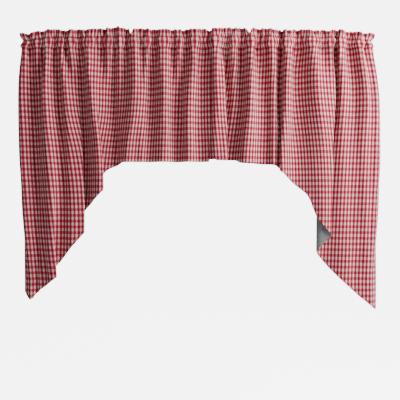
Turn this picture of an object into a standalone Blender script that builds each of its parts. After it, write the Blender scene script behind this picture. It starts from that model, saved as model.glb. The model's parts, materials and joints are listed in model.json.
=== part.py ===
"""A pair of swag valance panels, gathered along a rod line that returns to the wall at both ends.

Frame: metres, +Z up, +X along the rod to the viewer's right, +Y back towards the wall.
The origin is at the top edge of the heading, on the rod line's front run, where the pair is held.

Each panel is a heading (ruffled header over an open rod pocket), a checked face cloth and a lining.
A panel's horizontal section is a smooth curve through its folds, and the same length of cloth is
spread over every section: where the folds are few they are deeper, where they are many they are
shallow. The hem is cut along the cloth, so it steps up and down where the folds overlap.
"""
import bpy
import numpy as np

COLLECTION_NAME = "swag_valance"
MM = 0.001

# The flat pattern of one panel.
FLAT_WIDTH = 914 * MM
HEM_CORNER_ROUND = 7 * MM
HEM_MARGIN = 20 * MM

# The cut hem: its drop below the rod at distances from the join along the flat cloth, in mm.
HEM_COLUMNS = ("name", "from_join", "drop")
LEFT_HEM = (
    ("join corner", 0, 456),
    ("level end", 352, 457),
    ("slope start", 412, 480),
    ("slope edge", 487, 556),
    ("slope fold", 507, 576),
    ("slope upper", 552, 607),
    ("slope middle", 655, 720),
    ("slope low", 768, 844),
    ("tip hollow", 803, 868),
    ("tip start", 848, 898),
    ("tip", 878, 928),
    ("wall corner", 914, 897),
)
RIGHT_HEM = (
    ("join corner", 0, 447),
    ("first hollow", 198, 450),
    ("level rise", 224, 460),
    ("level end", 351, 466),
    ("slope start", 418, 489),
    ("slope edge", 448, 516),
    ("slope upper", 518, 570),
    ("folded edge", 548, 640),
    ("folded corner", 603, 696),
    ("folded back", 655, 744),
    ("slope low", 725, 817),
    ("tip hollow", 780, 865),
    ("tip start", 832, 912),
    ("tip", 888, 957),
    ("wall corner", 914, 959),
)

# Cloth thicknesses and clearances.
FACE_THICKNESS = 1.0 * MM
LINING_THICKNESS = 1.0 * MM
GAP = 0.3 * MM
LINING_HEM_RISE = 6 * MM
LINING_SIDE_INSET = 1 * MM

# The heading: drops below the top edge, and half the distance between its front and back layers.
HEADER_HEIGHT = 25 * MM
SEAM_DROP = 67 * MM
SEAM_HALF_GAP = 1.6 * MM
HEADER_HALF_GAP = 2.2 * MM
POCKET_HALF_DEPTH = 13 * MM
HEADING_THICKNESS = 1.0 * MM
SEAM_FOLD_SHARE = 0.8
STITCH_FOLD_SHARE = 0.45
POCKET_FOLD_SHARE = 0.25
HEADER_FOLD_SHARE = 0.6

# How finely the solids are cut.
STEPS_PER_FOLD = 2
PANEL_ROWS = 6
SECTION_COUNT = 60
CURVE_STEPS = 8

# Drops at which the tables give each fold's place.
LEVELS = (SEAM_DROP, 215 * MM, 415 * MM, 860 * MM)

# Each row is one crest or hollow, from the viewer's left to right, in millimetres.
# back: how far the rod line has turned back towards the wall there, at the seam and at the bottom.
# x: the fold's place along the rod at the seam and at the upper, middle and low levels.
# out: how far it stands out into the room there, or lies back where negative.
FOLD_COLUMNS = ("name", "back_top", "back_low",
                "seam_x", "upper_x", "middle_x", "low_x",
                "seam_out", "upper_out", "middle_out", "low_out")
LEFT_FOLDS = (
    ("wall edge", 72, 26, -598, -606, -608, -598, 0, 0, 0, 0),
    ("return hollow", 46, 17, -601, -613, -612, -592, 0, 0, 0, 0),
    ("return crest", 22, 8, -606, -620, -616, -584, 0, 0, 0, 0),
    ("outer crest", 2, 1, -597, -605, -600, -571, 4, 4, 2, 1),
    ("outer hollow", 0, 0, -578, -566, -560, -551, -7, -9, -12, -8),
    ("crease crest", 0, 0, -549, -554, -549, -541, 3, -6, -9, -3),
    ("crease hollow", 0, 0, -531, -539, -535, -524, -5, -2, -1, -1),
    ("first crest", 0, 0, -517, -525, -518, -506, 7, 10, 9, 7),
    ("first edge", 0, 0, -505, -508, -501, -482, 1, 4, 8, 9),
    ("first tuck", 0, 0, -494, -491, -484, -494, -7, -4, 1, -4),
    ("second hollow", 0, 0, -484, -476, -464, -476, -5, -7, -4, -8),
    ("second crest", 0, 0, -472, -456, -442, -434, 6, 7, 6, 4),
    ("second slope", 0, 0, -453, -435, -418, -414, -8, 1, 4, 5),
    ("third edge", 0, 0, -437, -418, -398, -388, 5, -5, 0, 2),
    ("third tuck", 0, 0, -421, -409, -410, -424, -4, -9, -7, -6),
    ("third hollow", 0, 0, -405, -397, -388, -398, -9, -11, -12, -14),
    ("fourth crest", 0, 0, -381, -369, -346, -346, 8, 9, 11, 11),
    ("fourth edge", 0, 0, -368, -355, -329, -327, 3, 6, 7, 7),
    ("fourth tuck", 0, 0, -352, -342, -344, -350, -4, 1, 0, -1),
    ("fourth slope", 0, 0, -334, -328, -322, -326, -7, -3, -7, -8),
    ("fourth ripple", 0, 0, -308, -312, -303, -303, 3, -8, -11, -11),
    ("fourth hollow", 0, 0, -289, -296, -285, -283, -9, -13, -14, -14),
    ("fifth ripple", 0, 0, -269, -276, -272, -270, 5, -5, -7, -7),
    ("fifth dip", 0, 0, -252, -257, -260, -258, -8, -4, 0, 0),
    ("fifth crest", 0, 0, -221, -221, -241, -241, 8, 9, 7, 7),
    ("sixth dip", 0, 0, -190, -199, -212, -212, -5, 6, 3, 3),
    ("sixth ripple", 0, 0, -176, -183, -194, -194, 5, 2, 3, 3),
    ("sixth hollow", 0, 0, -157, -162, -171, -171, -10, -9, -5, -5),
    ("sixth crest", 0, 0, -124, -119, -116, -116, 8, 9, 9, 9),
    ("seventh hollow", 0, 0, -87, -92, -82, -82, -7, -5, -10, -10),
    ("seventh ripple", 0, 0, -67, -76, -69, -69, 6, -6, -8, -8),
    ("seventh dip", 0, 0, -48, -60, -56, -56, -8, -8, -3, -3),
    ("seventh crest", 0, 0, -14, -31, -37, -37, 8, 9, 8, 8),
    ("join hollow", 0, 0, 10, 7, 2, 2, -8, -6, -4, -4),
    ("join edge", 0, 0, 35, 41, 35, 35, 3, 3, 3, 3),
)
RIGHT_FOLDS = (
    ("join edge", 0, 0, 38, 38, 31, 31, 2, -6, -6, -6),
    ("first crest", 0, 0, 52, 54, 50, 50, 9, 9, 9, 9),
    ("first slope", 0, 0, 68, 75, 74, 74, 3, 7, 9, 9),
    ("first edge", 0, 0, 79, 90, 95, 95, -3, 1, 3, 3),
    ("first tuck", 0, 0, 89, 84, 60, 60, -8, -7, -5, -5),
    ("second hollow", 0, 0, 100, 98, 80, 80, -4, -12, -13, -13),
    ("second ripple", 0, 0, 117, 118, 106, 106, 6, -3, -14, -14),
    ("second slope", 0, 0, 143, 143, 128, 128, -6, -8, -7, -7),
    ("second crest", 0, 0, 174, 171, 154, 154, 9, 11, 11, 11),
    ("third slope", 0, 0, 188, 184, 177, 177, 1, 8, 9, 9),
    ("third dip", 0, 0, 202, 203, 202, 202, -8, -3, -3, -3),
    ("third ripple", 0, 0, 224, 228, 228, 228, 0, -4, -6, -6),
    ("third crest", 0, 0, 247, 250, 250, 250, 8, 5, 4, 4),
    ("third edge", 0, 0, 263, 261, 263, 263, 0, 2, 3, 3),
    ("third hollow", 0, 0, 280, 274, 275, 273, -10, -11, -9, -9),
    ("fourth crest", 0, 0, 298, 295, 280, 272, 8, 9, 10, 10),
    ("fourth hollow", 0, 0, 332, 331, 334, 340, -9, -8, -6, -6),
    ("fifth crest", 0, 0, 388, 393, 413, 415, 9, 11, 12, 13),
    ("fifth dip", 0, 0, 418, 428, 436, 434, -2, 7, 10, 10),
    ("fifth edge", 0, 0, 447, 463, 454, 447, 5, 1, 3, 4),
    ("fifth tuck", 0, 0, 458, 456, 418, 398, -3, -7, -5, -5),
    ("sixth hollow", 0, 0, 466, 468, 438, 424, -9, -13, -13, -13),
    ("sixth crest", 0, 0, 480, 484, 483, 484, 7, 3, 0, -2),
    ("seventh hollow", 0, 0, 508, 528, 526, 541, -8, -5, -4, -4),
    ("seventh crest", 0, 0, 545, 566, 564, 571, 6, 5, 3, -1),
    ("outer hollow", 0, 0, 564, 584, 587, 583, -2, -1, -1, -2),
    ("outer crest", 5, 3, 584, 605, 608, 587, 2, 2, 2, 0),
    ("return crest", 22, 12, 595, 617, 620, 596, 0, 0, 0, 0),
    ("return hollow", 46, 23, 591, 611, 615, 603, 0, 0, 0, 0),
    ("wall edge", 70, 34, 588, 602, 609, 609, 0, 0, 0, 0),
)

COLOURS = {
    "heading": (0.44, 0.10, 0.13),
    "face": (0.50, 0.13, 0.16),
    "lining": (0.20, 0.21, 0.20),
}
CLOTH_ROUGHNESS = 0.92


def fold_columns(folds):
    """Read one panel's table as named columns in metres, each with a value for every level."""
    rows = [dict(zip(FOLD_COLUMNS, row)) for row in folds]
    levels = ("seam", "upper", "middle", "low")
    x = np.array([[row[level + "_x"] for level in levels] for row in rows]) * MM
    out = np.array([[row[level + "_out"] for level in levels] for row in rows]) * MM
    share = (np.array(LEVELS) - LEVELS[0]) / (LEVELS[-1] - LEVELS[0])
    top = np.array([row["back_top"] for row in rows]) * MM
    low = np.array([row["back_low"] for row in rows]) * MM
    back = top[:, None] + (low - top)[:, None] * share[None, :]
    return x, back, out


def along_drop(values, drops):
    """Smooth curves through values given at LEVELS, one curve a row, read at each drop."""
    levels = np.array(LEVELS)
    slopes = np.gradient(values, levels, axis=1)
    clipped = np.clip(drops, levels[0], levels[-1])
    index = np.clip(np.searchsorted(levels, clipped) - 1, 0, len(levels) - 2)
    span = levels[index + 1] - levels[index]
    t = (clipped - levels[index]) / span
    start = (2 * t**3 - 3 * t**2 + 1) * values[:, index] + (t**3 - 2 * t**2 + t) * span * slopes[:, index]
    end = (3 * t**2 - 2 * t**3) * values[:, index + 1] + (t**3 - t**2) * span * slopes[:, index + 1]
    return start + end


def smooth_curve(points, steps):
    """A curve through points[..., n, 2], each stretch cut into steps, rounded by its own length."""
    ahead = np.concatenate([points[..., 1:, :], points[..., -1:, :]], axis=-2)
    behind = np.concatenate([points[..., :1, :], points[..., :-1, :]], axis=-2)
    heading = ahead - behind
    heading = heading / np.linalg.norm(heading, axis=-1, keepdims=True)
    chord = points[..., 1:, :] - points[..., :-1, :]
    length = np.linalg.norm(chord, axis=-1, keepdims=True)
    t = np.linspace(0, 1, steps, endpoint=False)[:, None]
    start = points[..., :-1, None, :] * (2 * t**3 - 3 * t**2 + 1)
    end = points[..., 1:, None, :] * (3 * t**2 - 2 * t**3)
    leave = (heading[..., :-1, :] * length)[..., None, :] * (t**3 - 2 * t**2 + t)
    arrive = (heading[..., 1:, :] * length)[..., None, :] * (t**3 - t**2)
    inner = (start + end + leave + arrive).reshape(points.shape[:-2] + (-1, 2))
    return np.concatenate([inner, points[..., -1:, :]], axis=-2)


def arc_lengths(curve):
    """Length of cloth from the start of each curve[..., n, 2] to each of its points."""
    steps = np.linalg.norm(np.diff(curve, axis=-2), axis=-1)
    zero = np.zeros(steps.shape[:-1] + (1,))
    return np.concatenate([zero, np.cumsum(steps, axis=-1)], axis=-1)


def fold_points(x, back, out, depth):
    """Plan points (x, y) of the folds at each drop, with the folds' reach scaled by depth."""
    y = back - out * depth
    return np.stack([x, y], axis=-1).transpose(1, 0, 2)


def sections(folds, drops):
    """Plan curves of one panel at each drop, all of them FLAT_WIDTH long, and their lengths."""
    x, back, out = (along_drop(column, drops) for column in fold_columns(folds))
    low = np.full(len(drops), 0.2)
    high = np.full(len(drops), 4.0)
    for _ in range(30):
        depth = (low + high) / 2
        length = arc_lengths(smooth_curve(fold_points(x, back, out, depth), CURVE_STEPS))[:, -1]
        high = np.where(length > FLAT_WIDTH, depth, high)
        low = np.where(length > FLAT_WIDTH, low, depth)
    curve = smooth_curve(fold_points(x, back, out, depth), CURVE_STEPS)
    return curve, arc_lengths(curve)


def hem_drop(side, cloth_x):
    """Drop of the cut edge at a distance cloth_x from the join, along the flat cloth."""
    rows = [dict(zip(HEM_COLUMNS, row)) for row in {"left": LEFT_HEM, "right": RIGHT_HEM}[side]]
    places = np.array([row["from_join"] for row in rows]) * MM
    drops = np.array([row["drop"] for row in rows]) * MM
    shifts = (-HEM_CORNER_ROUND, 0, HEM_CORNER_ROUND)
    return np.mean([np.interp(cloth_x + shift, places, drops) for shift in shifts], axis=0)


def sheet_grid(side, folds):
    """Grid of points over one hanging panel, from its seam to its hem: rows, columns, xyz."""
    longest = max(row[-1] for row in LEFT_HEM + RIGHT_HEM) * MM
    drops = np.linspace(SEAM_DROP, longest + HEM_MARGIN, SECTION_COUNT)
    curve, length = sections(folds, drops)
    from_join = length if side == "right" else FLAT_WIDTH - length
    columns = []
    for column in range(0, curve.shape[1], CURVE_STEPS // STEPS_PER_FOLD):
        below_hem = drops - hem_drop(side, from_join[:, column])
        hem = np.interp(0, below_hem, drops)
        reach = SEAM_DROP + (hem - SEAM_DROP) * np.linspace(0, 1, PANEL_ROWS + 1)
        x = np.interp(reach, drops, curve[:, column, 0])
        y = np.interp(reach, drops, curve[:, column, 1])
        columns.append(np.stack([x, y, -reach], axis=-1))
    return np.array(columns).transpose(1, 0, 2)


def drawn_in(grid, normals):
    """The grid and its normals with the hem raised and the sides drawn in, as the lining is cut."""
    grid = grid.copy()
    normals = normals.copy()
    for edge, inner, distance in ((np.s_[-1, :], np.s_[-2, :], LINING_HEM_RISE),
                                  (np.s_[:, 0], np.s_[:, 1], LINING_SIDE_INSET),
                                  (np.s_[:, -1], np.s_[:, -2], LINING_SIDE_INSET)):
        share = distance / np.linalg.norm(grid[inner] - grid[edge], axis=-1, keepdims=True)
        grid[edge] += (grid[inner] - grid[edge]) * share
        normals[edge] += (normals[inner] - normals[edge]) * share
    return grid, normals


def bisecting_runs(grid, axis):
    """At each point, the mean direction of the runs that come to it and leave it along an axis."""
    run = np.diff(grid, axis=axis)
    run = run / np.linalg.norm(run, axis=-1, keepdims=True)
    first, last = np.take(run, [0], axis=axis), np.take(run, [-1], axis=axis)
    return np.concatenate([first, run], axis=axis) + np.concatenate([run, last], axis=axis)


def grid_normals(grid):
    """Unit normals of a grid of points, pointing into the room."""
    normal = np.cross(bisecting_runs(grid, 0), bisecting_runs(grid, 1))
    return normal / np.linalg.norm(normal, axis=-1, keepdims=True)


def linked_mesh(name, points, faces, material):
    """A new object of the points and faces, in this model's collection."""
    mesh = bpy.data.meshes.new(name)
    mesh.from_pydata(points.tolist(), [], faces)
    mesh.materials.append(material)
    item = bpy.data.objects.new(name, mesh)
    bpy.data.collections[COLLECTION_NAME].objects.link(item)
    return item


def grid_triangles(index):
    """Triangles over a grid of point numbers, every cell cut along the same diagonal."""
    a, b, c, d = (part.ravel() for part in (index[:-1, :-1], index[1:, :-1], index[1:, 1:], index[:-1, 1:]))
    return np.concatenate([np.stack([a, b, c], axis=-1), np.stack([a, c, d], axis=-1)])


def sheet_object(name, grid, normals, front_offset, back_offset, material):
    """A closed sheet between two offsets of one grid, so that neighbouring layers nest."""
    rows, columns = grid.shape[:2]
    front = np.arange(rows * columns).reshape(rows, columns)
    back = front + rows * columns
    rims = (
        np.stack([front[0], back[0]])[::-1],
        np.stack([front[-1], back[-1]]),
        np.stack([front[:, 0], back[:, 0]]),
        np.stack([front[:, -1], back[:, -1]])[::-1],
    )
    triangles = [grid_triangles(front), grid_triangles(back)[:, ::-1]]
    triangles += [grid_triangles(rim) for rim in rims]
    points = np.concatenate([(grid + normals * offset).reshape(-1, 3)
                             for offset in (front_offset, back_offset)])
    return linked_mesh(name, points, np.concatenate(triangles).tolist(), material)


def heading_profile():
    """One layer loop of the heading: (drop, out from the rod line, share of the fold's reach)."""
    pocket = SEAM_DROP - HEADER_HEIGHT
    bottom = SEAM_DROP - HEADING_THICKNESS / 2 - GAP
    front = (
        (bottom, SEAM_HALF_GAP, SEAM_FOLD_SHARE),
        (SEAM_DROP - 0.28 * pocket, 0.85 * POCKET_HALF_DEPTH, POCKET_FOLD_SHARE),
        (SEAM_DROP - 0.72 * pocket, 0.85 * POCKET_HALF_DEPTH, POCKET_FOLD_SHARE),
        (HEADER_HEIGHT, SEAM_HALF_GAP, STITCH_FOLD_SHARE),
        (0.0, HEADER_HALF_GAP, HEADER_FOLD_SHARE),
    )
    back = tuple((drop, -out, share) for drop, out, share in reversed(front))
    return front + back


def heading_grid(folds):
    """Grid of points round the heading: along its profile loop, then along the rod line."""
    seam = np.array([SEAM_DROP])
    x, back, out = (along_drop(column, seam) for column in fold_columns(folds))
    plain = fold_points(x, back, out, 0.0)[0]
    folded = sections(folds, seam)[0][0, ::CURVE_STEPS]
    rows = []
    for drop, reach, share in heading_profile():
        path = plain + (folded - plain) * share
        run = bisecting_runs(path, 0)
        facing = np.stack([run[:, 1], -run[:, 0]], axis=-1)
        facing = facing / np.linalg.norm(facing, axis=-1, keepdims=True)
        rows.append(np.column_stack([path + facing * reach, np.full(len(path), -drop)]))
    return np.array(rows)


def cloth_material(name):
    """Matt cloth of one colour."""
    material = bpy.data.materials.new(name)
    material.use_nodes = True
    shader = material.node_tree.nodes["Principled BSDF"]
    shader.inputs["Base Color"].default_value = (*COLOURS[name.split("_")[-1]], 1.0)
    shader.inputs["Roughness"].default_value = CLOTH_ROUGHNESS
    shader.inputs["Metallic"].default_value = 0.0
    return material


def build_heading(side, folds):
    """Header ruffle and rod pocket of one panel, folded from one layer and open at both ends.

    The cells of its front and back layers are cut along mirrored diagonals, so both lie alike.
    """
    name = side + "_heading"
    grid = heading_grid(folds)
    index = np.arange(grid.shape[0] * grid.shape[1]).reshape(grid.shape[:2])
    half = grid.shape[0] // 2
    front = grid_triangles(index[:half])
    back = grid_triangles(index[half - 1:, ::-1])[:, ::-1]
    faces = np.concatenate([front, back]).tolist()
    heading = linked_mesh(name, grid.reshape(-1, 3), faces, cloth_material(name))
    solidify = heading.modifiers.new("cloth thickness", "SOLIDIFY")
    solidify.thickness = HEADING_THICKNESS
    solidify.offset = 0.0


def build_panel(side, folds):
    """Face cloth and lining of one panel, hanging from its heading."""
    grid = sheet_grid(side, folds)
    normals = grid_normals(grid)
    front = FACE_THICKNESS / 2
    name = side + "_face"
    sheet_object(name, grid, normals, front, -front, cloth_material(name))
    lining_front = -front - GAP
    lining_grid, lining_normals = drawn_in(grid, normals)
    name = side + "_lining"
    sheet_object(name, lining_grid, lining_normals, lining_front, lining_front - LINING_THICKNESS,
                 cloth_material(name))


def main():
    for item in list(bpy.data.objects):
        bpy.data.objects.remove(item)
    collection = bpy.data.collections.new(COLLECTION_NAME)
    bpy.context.scene.collection.children.link(collection)
    for side, folds in (("left", LEFT_FOLDS), ("right", RIGHT_FOLDS)):
        build_heading(side, folds)
        build_panel(side, folds)


main()
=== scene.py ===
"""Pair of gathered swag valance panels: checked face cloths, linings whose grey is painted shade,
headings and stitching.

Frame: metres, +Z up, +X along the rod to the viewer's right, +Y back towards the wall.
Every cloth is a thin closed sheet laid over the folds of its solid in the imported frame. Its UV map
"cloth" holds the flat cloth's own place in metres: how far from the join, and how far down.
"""
import json

import bpy
import numpy as np
from bpy.props import FloatProperty, FloatVectorProperty, PointerProperty
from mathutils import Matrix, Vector


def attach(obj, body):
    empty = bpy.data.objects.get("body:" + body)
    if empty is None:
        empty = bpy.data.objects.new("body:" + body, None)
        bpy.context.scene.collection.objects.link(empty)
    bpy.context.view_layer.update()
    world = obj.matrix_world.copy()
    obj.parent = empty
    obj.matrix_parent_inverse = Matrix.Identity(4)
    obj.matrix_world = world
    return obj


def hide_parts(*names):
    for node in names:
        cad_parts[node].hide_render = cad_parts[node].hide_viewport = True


bl_info = {
    "name": "Swag Valance",
    "version": (1, 0, 0),
    "blender": (4, 5, 0),
    "location": "View3D > Sidebar > Valance",
    "description": "Gathered swag valance pair of checked cloth, lined, on an open rod pocket",
    "category": "Add Mesh",
}

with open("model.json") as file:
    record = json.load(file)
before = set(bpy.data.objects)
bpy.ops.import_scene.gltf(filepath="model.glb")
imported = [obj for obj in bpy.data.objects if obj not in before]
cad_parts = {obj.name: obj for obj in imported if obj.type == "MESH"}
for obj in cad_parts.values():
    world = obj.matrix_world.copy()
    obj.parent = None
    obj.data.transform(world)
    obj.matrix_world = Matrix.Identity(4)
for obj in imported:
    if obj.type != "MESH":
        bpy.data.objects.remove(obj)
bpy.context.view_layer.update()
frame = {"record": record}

MM = 0.001
SIDES = ("left", "right")
TOP_EDGE = frame["record"]["mounts"][0]["pos_m"]

# The flat pattern of one panel.
FLAT_WIDTH = 914 * MM
HEM_CORNER_ROUND = 7 * MM

# The heading, in drops below the top edge.
HEADER_HEIGHT = 25 * MM
HEADER_FLARE = 0.008
WAIST_DRAW = 0.0136
FRILL_HEIGHT = 1.8 * MM
PINCH_SHARE = 0.2
POCKET_MIDDLE = 36
WAIST_REACH = 15
CORNER_X = 590 * MM
CORNER_SHARE = 0.025
HEADING_CRUMPLE = 3.5 * MM
JOIN_TUCK = (-3.5 * MM, 1.2 * MM)
JOIN_TUCK_WIDTH = 9 * MM
SEAM_DROP = 67 * MM

# How far below the seam the gathers' pleats and drapes fade, and the even hang sets in.
PLEAT_REACH = 42 * MM
DRAPE_REACH = 120 * MM
SETTLED_REACH = 90 * MM

# How finely the cloth is cut.
STEPS_PER_FOLD = 10
PANEL_ROWS = 88
HEADING_STEPS = 3
SECTION_COUNT = 150
HEM_MARGIN = 40 * MM

# How the threads lie: over how far the cloth gives, and by what share.
WEFT_GIVE = 90 * MM
WEFT_SHARE = 0.6
WARP_SPAN = 200 * MM
WARP_SHARE = 0.85

# The cloth's map and its edges.
UV_NAME = "cloth"
CUT_EDGE_ANGLE = 1.1
STRIPE_EDGE = 0.7 * MM

# The stage.
SENSOR_WIDTH = 36.0
CAMERA_ASIDE = 0.003
FLOOR_Z = -1.35
FLOOR_FRONT = -8.0
FLOOR_HALF_WIDTH = 14.0
BACKDROP_Y = 7.0
BACKDROP_TOP = 7.0
SWEEP_RADIUS = 0.8
STAGE_GLOW = 6.0

# The lights: where each stands, what it faces, its side, and its share of the key light's power.
LIGHT_COLUMNS = ("name", "place", "target", "size", "share")
LIGHTS = (
    ("key_light", (1.5, -0.75, 0.2), (0.0, 0.0, -0.35), 1.2, 1.0),
    ("front_fill", (-1.0, -2.6, 0.2), (0.0, 0.0, -0.45), 2.0, 0.1),
)

# Uneven waves of the cloth: the period in millimetres, the seed that sets its phase, and its size.
# The size is a share of a heading row's own reach, and millimetres for the drapes and the sways.
WAVE_COLUMNS = ("name", "period", "seed", "size")
WAVES = (
    ("stitch pleats", 13, 0.6, 1.0),
    ("stitch pleats", 8.3, 2.1, 0.5),
    ("pinches", 150, 1.3, 1.0),
    ("header ruffle", 62, 1.3, 0.6),
    ("header ruffle", 31, 2.2, 0.5),
    ("header ruffle", 19, 3.7, 0.35),
    ("pocket pleats", 31, 0.6, 0.7),
    ("pocket pleats", 14, 4.4, 0.5),
    ("header crumple", 53, 2.9, 1.0),
    ("pocket crumple", 36, 4.2, 1.0),
    ("frill", 37, 5.0, 1.0),
    ("frill", 17, 1.1, 0.5),
    ("drapes", 47, 3.3, 2.2),
    ("broad sway", 88, 2.7, 1.1),
    ("small sway", 43, 5.1, 0.8),
)

# Drops at which the tables give each fold's place.
LEVELS = (SEAM_DROP, 215 * MM, 415 * MM, 860 * MM)

# The cut hem: its drop below the rod at distances from the join along the flat cloth, in mm.
HEM_COLUMNS = ("name", "from_join", "drop")
LEFT_HEM = (
    ("join corner", 0, 456),
    ("level end", 352, 457),
    ("slope start", 412, 480),
    ("slope edge", 487, 556),
    ("slope fold", 507, 576),
    ("slope upper", 552, 607),
    ("slope middle", 655, 720),
    ("slope low", 768, 844),
    ("tip hollow", 803, 868),
    ("tip start", 848, 898),
    ("tip", 878, 928),
    ("wall corner", 914, 897),
)
RIGHT_HEM = (
    ("join corner", 0, 447),
    ("first hollow", 198, 450),
    ("level rise", 224, 460),
    ("level end", 351, 466),
    ("slope start", 418, 489),
    ("slope edge", 448, 516),
    ("slope upper", 518, 570),
    ("folded edge", 548, 640),
    ("folded corner", 603, 696),
    ("folded back", 655, 744),
    ("slope low", 725, 817),
    ("tip hollow", 780, 865),
    ("tip start", 832, 912),
    ("tip", 888, 957),
    ("wall corner", 914, 959),
)
LONGEST_DROP = max(row[-1] for row in LEFT_HEM + RIGHT_HEM) * MM

# Each row is one crest or hollow, from the viewer's left to right, in millimetres.
# back: how far the rod line has turned back towards the wall there, at the seam and at the bottom.
# x: the fold's place along the rod at the seam and at the upper, middle and low levels.
# out: how far it stands out into the room there, or lies back where negative.
FOLD_COLUMNS = ("name", "back_top", "back_low",
                "seam_x", "upper_x", "middle_x", "low_x",
                "seam_out", "upper_out", "middle_out", "low_out")
LEFT_FOLDS = (
    ("wall edge", 72, 26, -598, -606, -608, -598, 0, 0, 0, 0),
    ("return hollow", 46, 17, -601, -613, -612, -592, 0, 0, 0, 0),
    ("return crest", 22, 8, -606, -620, -616, -584, 0, 0, 0, 0),
    ("outer crest", 2, 1, -597, -605, -600, -571, 4, 4, 2, 1),
    ("outer hollow", 0, 0, -578, -566, -560, -551, -7, -9, -12, -8),
    ("crease crest", 0, 0, -549, -554, -549, -541, 3, -6, -9, -3),
    ("crease hollow", 0, 0, -531, -539, -535, -524, -5, -2, -1, -1),
    ("first crest", 0, 0, -517, -525, -518, -506, 7, 10, 9, 7),
    ("first edge", 0, 0, -505, -508, -501, -482, 1, 4, 8, 9),
    ("first tuck", 0, 0, -494, -491, -484, -494, -7, -4, 1, -4),
    ("second hollow", 0, 0, -484, -476, -464, -476, -5, -7, -4, -8),
    ("second crest", 0, 0, -472, -456, -442, -434, 6, 7, 6, 4),
    ("second slope", 0, 0, -453, -435, -418, -414, -8, 1, 4, 5),
    ("third edge", 0, 0, -437, -418, -398, -388, 5, -5, 0, 2),
    ("third tuck", 0, 0, -421, -409, -410, -424, -4, -9, -7, -6),
    ("third hollow", 0, 0, -405, -397, -388, -398, -9, -11, -12, -14),
    ("fourth crest", 0, 0, -381, -369, -346, -346, 8, 9, 11, 11),
    ("fourth edge", 0, 0, -368, -355, -329, -327, 3, 6, 7, 7),
    ("fourth tuck", 0, 0, -352, -342, -344, -350, -4, 1, 0, -1),
    ("fourth slope", 0, 0, -334, -328, -322, -326, -7, -3, -7, -8),
    ("fourth ripple", 0, 0, -308, -312, -303, -303, 3, -8, -11, -11),
    ("fourth hollow", 0, 0, -289, -296, -285, -283, -9, -13, -14, -14),
    ("fifth ripple", 0, 0, -269, -276, -272, -270, 5, -5, -7, -7),
    ("fifth dip", 0, 0, -252, -257, -260, -258, -8, -4, 0, 0),
    ("fifth crest", 0, 0, -221, -221, -241, -241, 8, 9, 7, 7),
    ("sixth dip", 0, 0, -190, -199, -212, -212, -5, 6, 3, 3),
    ("sixth ripple", 0, 0, -176, -183, -194, -194, 5, 2, 3, 3),
    ("sixth hollow", 0, 0, -157, -162, -171, -171, -10, -9, -5, -5),
    ("sixth crest", 0, 0, -124, -119, -116, -116, 8, 9, 9, 9),
    ("seventh hollow", 0, 0, -87, -92, -82, -82, -7, -5, -10, -10),
    ("seventh ripple", 0, 0, -67, -76, -69, -69, 6, -6, -8, -8),
    ("seventh dip", 0, 0, -48, -60, -56, -56, -8, -8, -3, -3),
    ("seventh crest", 0, 0, -14, -31, -37, -37, 8, 9, 8, 8),
    ("join hollow", 0, 0, 10, 7, 2, 2, -8, -6, -4, -4),
    ("join edge", 0, 0, 35, 41, 35, 35, 3, 3, 3, 3),
)
RIGHT_FOLDS = (
    ("join edge", 0, 0, 38, 38, 31, 31, 2, -6, -6, -6),
    ("first crest", 0, 0, 52, 54, 50, 50, 9, 9, 9, 9),
    ("first slope", 0, 0, 68, 75, 74, 74, 3, 7, 9, 9),
    ("first edge", 0, 0, 79, 90, 95, 95, -3, 1, 3, 3),
    ("first tuck", 0, 0, 89, 84, 60, 60, -8, -7, -5, -5),
    ("second hollow", 0, 0, 100, 98, 80, 80, -4, -12, -13, -13),
    ("second ripple", 0, 0, 117, 118, 106, 106, 6, -3, -14, -14),
    ("second slope", 0, 0, 143, 143, 128, 128, -6, -8, -7, -7),
    ("second crest", 0, 0, 174, 171, 154, 154, 9, 11, 11, 11),
    ("third slope", 0, 0, 188, 184, 177, 177, 1, 8, 9, 9),
    ("third dip", 0, 0, 202, 203, 202, 202, -8, -3, -3, -3),
    ("third ripple", 0, 0, 224, 228, 228, 228, 0, -4, -6, -6),
    ("third crest", 0, 0, 247, 250, 250, 250, 8, 5, 4, 4),
    ("third edge", 0, 0, 263, 261, 263, 263, 0, 2, 3, 3),
    ("third hollow", 0, 0, 280, 274, 275, 273, -10, -11, -9, -9),
    ("fourth crest", 0, 0, 298, 295, 280, 272, 8, 9, 10, 10),
    ("fourth hollow", 0, 0, 332, 331, 334, 340, -9, -8, -6, -6),
    ("fifth crest", 0, 0, 388, 393, 413, 415, 9, 11, 12, 13),
    ("fifth dip", 0, 0, 418, 428, 436, 434, -2, 7, 10, 10),
    ("fifth edge", 0, 0, 447, 463, 454, 447, 5, 1, 3, 4),
    ("fifth tuck", 0, 0, 458, 456, 418, 398, -3, -7, -5, -5),
    ("sixth hollow", 0, 0, 466, 468, 438, 424, -9, -13, -13, -13),
    ("sixth crest", 0, 0, 480, 484, 483, 484, 7, 3, 0, -2),
    ("seventh hollow", 0, 0, 508, 528, 526, 541, -8, -5, -4, -4),
    ("seventh crest", 0, 0, 545, 566, 564, 571, 6, 5, 3, -1),
    ("outer hollow", 0, 0, 564, 584, 587, 583, -2, -1, -1, -2),
    ("outer crest", 5, 3, 584, 605, 608, 587, 2, 2, 2, 0),
    ("return crest", 22, 12, 595, 617, 620, 596, 0, 0, 0, 0),
    ("return hollow", 46, 23, 591, 611, 615, 603, 0, 0, 0, 0),
    ("wall edge", 70, 34, 588, 602, 609, 609, 0, 0, 0, 0),
)
FOLDS = {"left": LEFT_FOLDS, "right": RIGHT_FOLDS}

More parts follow.
